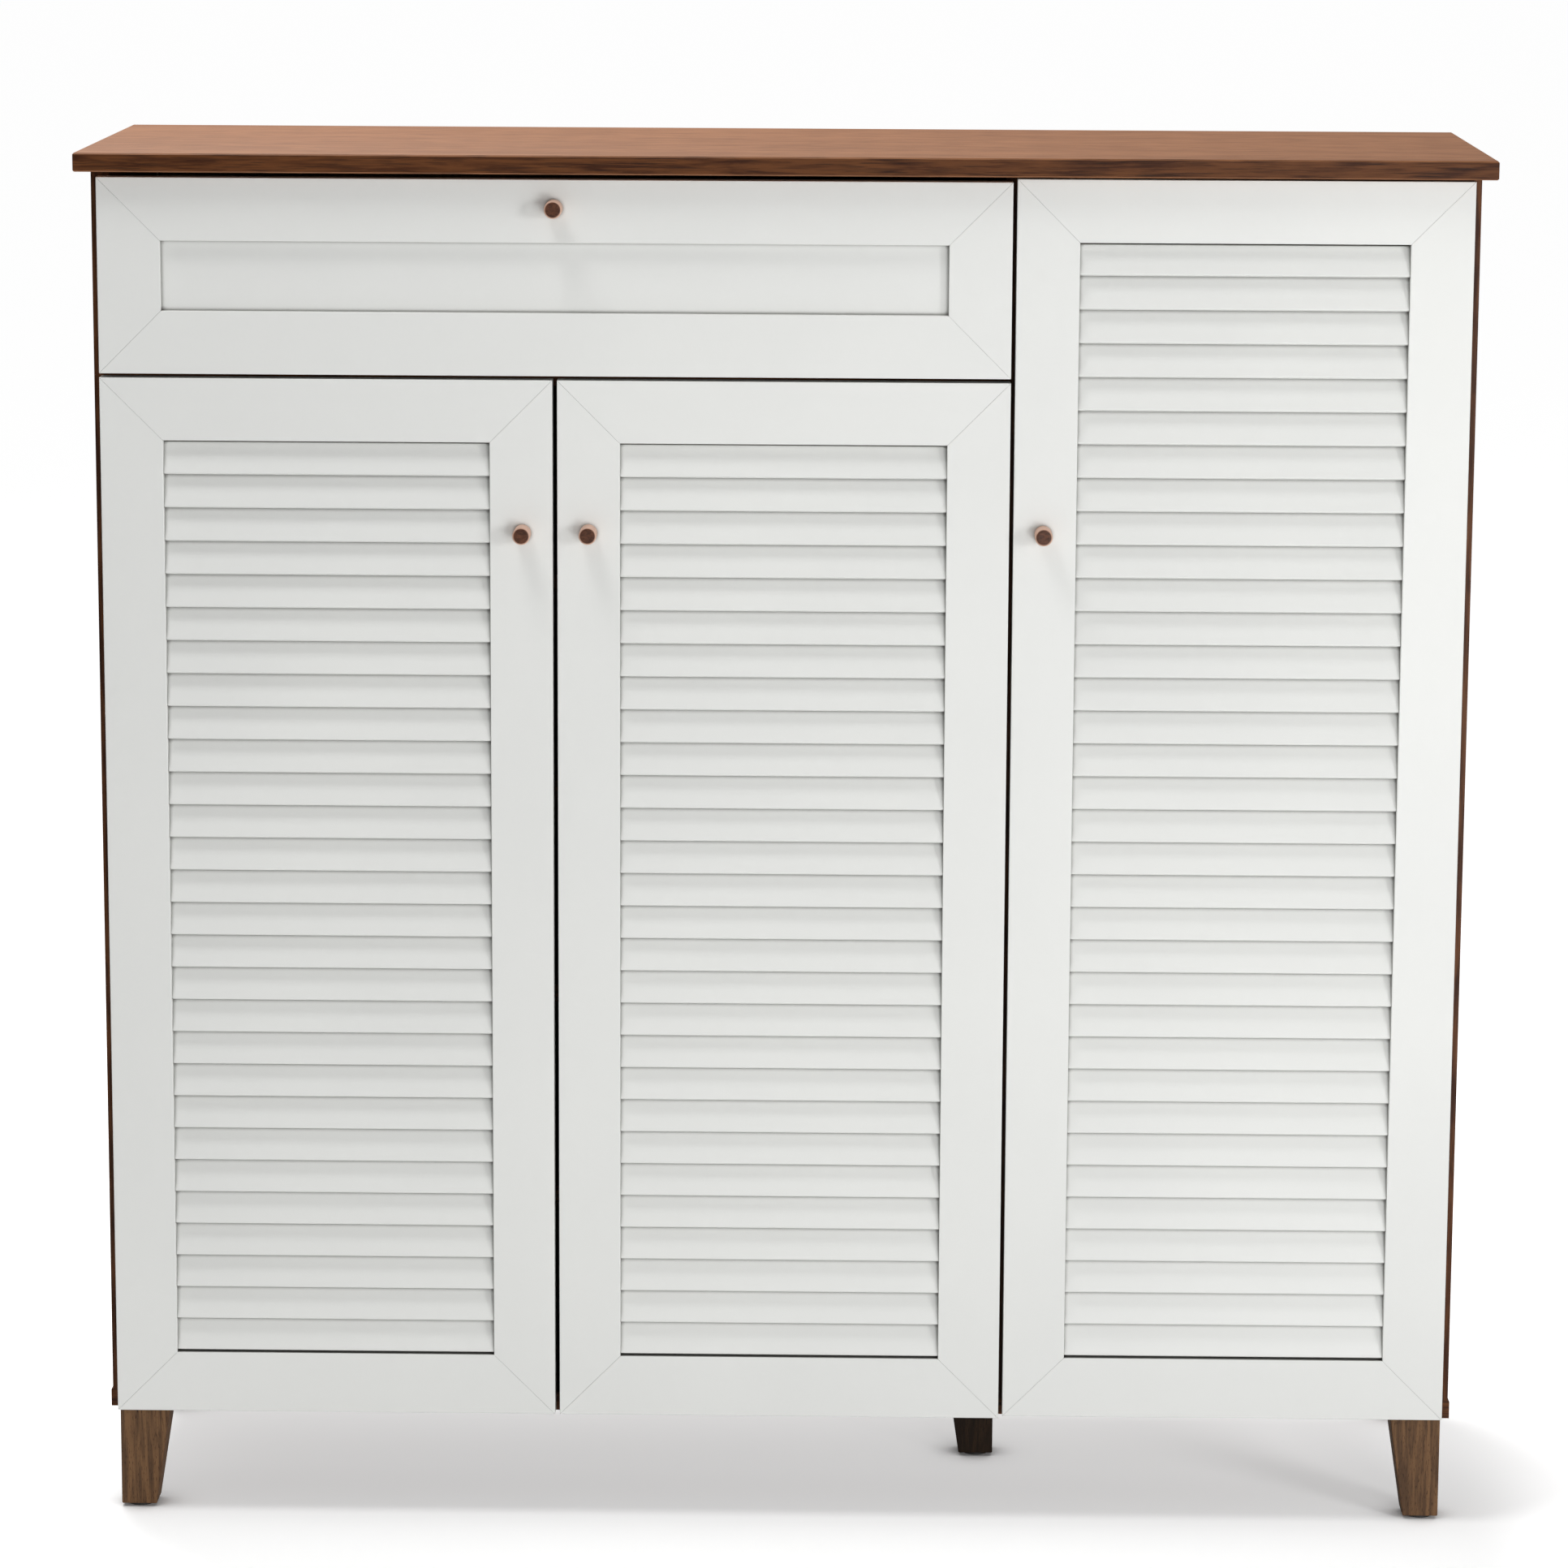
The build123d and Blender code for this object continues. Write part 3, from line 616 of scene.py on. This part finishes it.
class CABINET_OT_screws(bpy.types.Operator):
    """Drive the screws of the hinges and runners"""

    bl_idname = "cabinet.screws"
    bl_label = "Screws"

    def execute(self, context):
        s = context.scene.cabinet_hardware
        zinc = bpy.data.materials["zinc_plate"]
        size = (s.screw_radius, s.screw_height)
        case = bmesh.new()
        for owner, (side, heights) in HINGES.items():
            low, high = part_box(f"{owner}_stiles")
            edge = low.x if side < 0 else high.x
            door = bmesh.new()
            for z in heights:
                for depth in ARM_SCREW_DEPTHS:
                    spot = (edge - side * ARM_SCREW_INSET, DOOR_FACE + depth, z)
                    add_cross_head(case, facing(spot, (-side, 0, 0)), *size)
                for rise in CUP_SCREW_RISES:
                    spot = (edge - side * CUP_INSET, DOOR_FACE + CUP_FLANGE_DEPTH, z + rise)
                    add_cross_head(door, facing(spot, (0, 1, 0)), *size)
            sharp_edges(piece_from(door, f"{owner}_cup_screws", zinc, owner))
        drawer = bmesh.new()
        z = RUNNER_BOTTOM + RUNNER_SCREW_RISE
        for wall, way in ((LEFT_WALL, 1), (PARTITION_LEFT, -1)):
            for depth in CASE_RUNNER_DEPTHS:
                spot = (wall + way * CASE_RUNNER_FACE, DOOR_FACE + depth, z)
                add_cross_head(case, facing(spot, (way, 0, 0)), *size)
            for depth in DRAWER_RUNNER_DEPTHS:
                spot = (wall + way * DRAWER_RUNNER_FACE, DOOR_FACE + depth, z)
                add_cross_head(drawer, facing(spot, (-way, 0, 0)), s.screw_radius, DRAWER_SCREW_HEIGHT)
        sharp_edges(piece_from(case, "case_screws", zinc, "cabinet"))
        sharp_edges(piece_from(drawer, "drawer_runner_screws", zinc, "drawer"))
        return {"FINISHED"}


class CABINET_OT_cams(bpy.types.Operator):
    """Set the slotted faces of the cam fittings"""

    bl_idname = "cabinet.cams"
    bl_label = "Cam faces"

    def execute(self, context):
        s = context.scene.cabinet_hardware
        nickel = bpy.data.materials["nickel_plate"]
        bm = bmesh.new()
        for depth in CAM_DEPTHS:
            y = DOOR_FACE + depth
            spots = []
            for x, way in ((LEFT_WALL, 1), (RIGHT_WALL, -1), (PARTITION_LEFT, -1)):
                spots += [((x, y, z), (way, 0, 0)) for z in (TOP_UNDER - CAM_INSET, FLOOR_IN + CAM_INSET)]
            for x in (LEFT_WALL + CAM_INSET, PARTITION_LEFT - CAM_INSET):
                spots.append(((x, y, DECK_UNDER), (0, 0, -1)))
            for spot, way in spots:
                add_cross_head(bm, facing(spot, way), s.cam_radius, CAM_HEIGHT, 0.55, 0.11)
        sharp_edges(piece_from(bm, "cam_faces", nickel, "cabinet"))
        return {"FINISHED"}


class CABINET_OT_nails(bpy.types.Operator):
    """Nail the back panels to the case"""

    bl_idname = "cabinet.nails"
    bl_label = "Back panel nails"

    def execute(self, context):
        s = context.scene.cabinet_hardware
        zinc = bpy.data.materials["zinc_plate"]
        bm = bmesh.new()
        for panel in ("back_panel_left", "back_panel_right"):
            low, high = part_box(panel)
            left, right = low.x + NAIL_INSET, high.x - NAIL_INSET
            if panel.endswith("left"):
                right = high.x - NAIL_INSET_PARTITION
            else:
                left = low.x + NAIL_INSET_PARTITION
            bottom, top = low.z + NAIL_INSET, high.z - NAIL_INSET
            across = max(2, round((right - left) / NAIL_PITCH))
            up = round((top - bottom) / NAIL_PITCH)
            spots = [(left + (right - left) * k / across, bottom) for k in range(across + 1)]
            spots += [(x, bottom + (top - bottom) * k / up) for k in range(1, up + 1) for x in (left, right)]
            for x, z in spots:
                add_nail(bm, facing((x, high.y, z), (0, 1, 0)), s.nail_radius)
        sharp_edges(piece_from(bm, "back_panel_nails", zinc, "cabinet"))
        return {"FINISHED"}


class CABINET_OT_stage(bpy.types.Operator):
    """Set up the floor, the lights and the camera"""

    bl_idname = "cabinet.stage"
    bl_label = "Studio"

    def execute(self, context):
        s = context.scene.cabinet_stage
        scene = context.scene
        scene.view_settings.view_transform = "Standard"
        bm = bmesh.new()
        bmesh.ops.create_grid(bm, x_segments=2, y_segments=2, size=s.floor_size / 2)
        mesh = bpy.data.meshes.new("studio_floor")
        bm.to_mesh(mesh)
        bm.free()
        floor = bpy.data.objects.new("studio_floor", mesh)
        scene.collection.objects.link(floor)
        mesh.materials.append(floor_paint(s.floor_glow, s.far_glow))
        world = bpy.data.worlds.new("studio_air")
        world.use_nodes = True
        sky = world.node_tree.nodes["Background"]
        sky.inputs["Color"].default_value = (1.0, 1.0, 1.0, 1.0)
        sky.inputs["Strength"].default_value = s.sky
        scene.world = world
        for name, (around, above, far, size) in LAMPS.items():
            a, e = math.radians(around), math.radians(above)
            way = Vector((math.sin(a) * math.cos(e), -math.cos(a) * math.cos(e), math.sin(e)))
            data = bpy.data.lights.new(f"{name}_light", "AREA")
            data.shape = "DISK"
            data.size = size
            data.energy = getattr(s, name)
            lamp = bpy.data.objects.new(f"{name}_light", data)
            lamp.location = MIDDLE + way * far
            lamp.rotation_euler = way.to_track_quat("Z", "Y").to_euler()
            lamp.visible_camera = False
            scene.collection.objects.link(lamp)
        data = bpy.data.cameras.new("camera")
        data.sensor_width = 36.0
        data.lens = s.lens
        data.clip_end = 500.0
        camera = bpy.data.objects.new("camera", data)
        turn = Matrix((CAMERA_RIGHT, CAMERA_UP, CAMERA_BACK)).transposed().to_4x4()
        camera.matrix_world = Matrix.Translation(CAMERA_PLACE) @ turn
        scene.collection.objects.link(camera)
        scene.camera = camera
        return {"FINISHED"}


class CABINET_PT_panel(bpy.types.Panel):
    """Lists the steps in the sidebar"""

    bl_label = "Shoe Cabinet"
    bl_idname = "CABINET_PT_panel"
    bl_space_type = "VIEW_3D"
    bl_region_type = "UI"
    bl_category = "Cabinet"

    def draw(self, context):
        for group in GROUPS:
            box = self.layout.box()
            settings = getattr(context.scene, group)
            for name in settings.__annotations__:
                box.prop(settings, name)
        for step in OPERATORS:
            self.layout.operator(step.bl_idname)


GROUPS = {"cabinet_wood": WoodSettings, "cabinet_fronts": FrontSettings, "cabinet_hardware": HardwareSettings,
          "cabinet_knobs": KnobSettings, "cabinet_stage": StageSettings}
OPERATORS = (CABINET_OT_walnut, CABINET_OT_fronts, CABINET_OT_hardware, CABINET_OT_knobs, CABINET_OT_screws,
             CABINET_OT_cams, CABINET_OT_nails, CABINET_OT_stage)


def register():
    """Registers the settings, the steps and the panel."""
    for name, group in GROUPS.items():
        bpy.utils.register_class(group)
        setattr(bpy.types.Scene, name, bpy.props.PointerProperty(type=group))
    for cls in (*OPERATORS, CABINET_PT_panel):
        bpy.utils.register_class(cls)


def unregister():
    """Removes everything that register added."""
    for cls in reversed((*OPERATORS, CABINET_PT_panel)):
        bpy.utils.unregister_class(cls)
    for name, group in GROUPS.items():
        delattr(bpy.types.Scene, name)
        bpy.utils.unregister_class(group)


def main():
    """Runs every step in order."""
    register()
    bpy.ops.cabinet.walnut()
    bpy.ops.cabinet.fronts()
    bpy.ops.cabinet.hardware()
    bpy.ops.cabinet.knobs()
    bpy.ops.cabinet.screws()
    bpy.ops.cabinet.cams()
    bpy.ops.cabinet.nails()
    bpy.ops.cabinet.stage()
    bpy.context.view_layer.update()


if __name__ == "__main__":
    main()
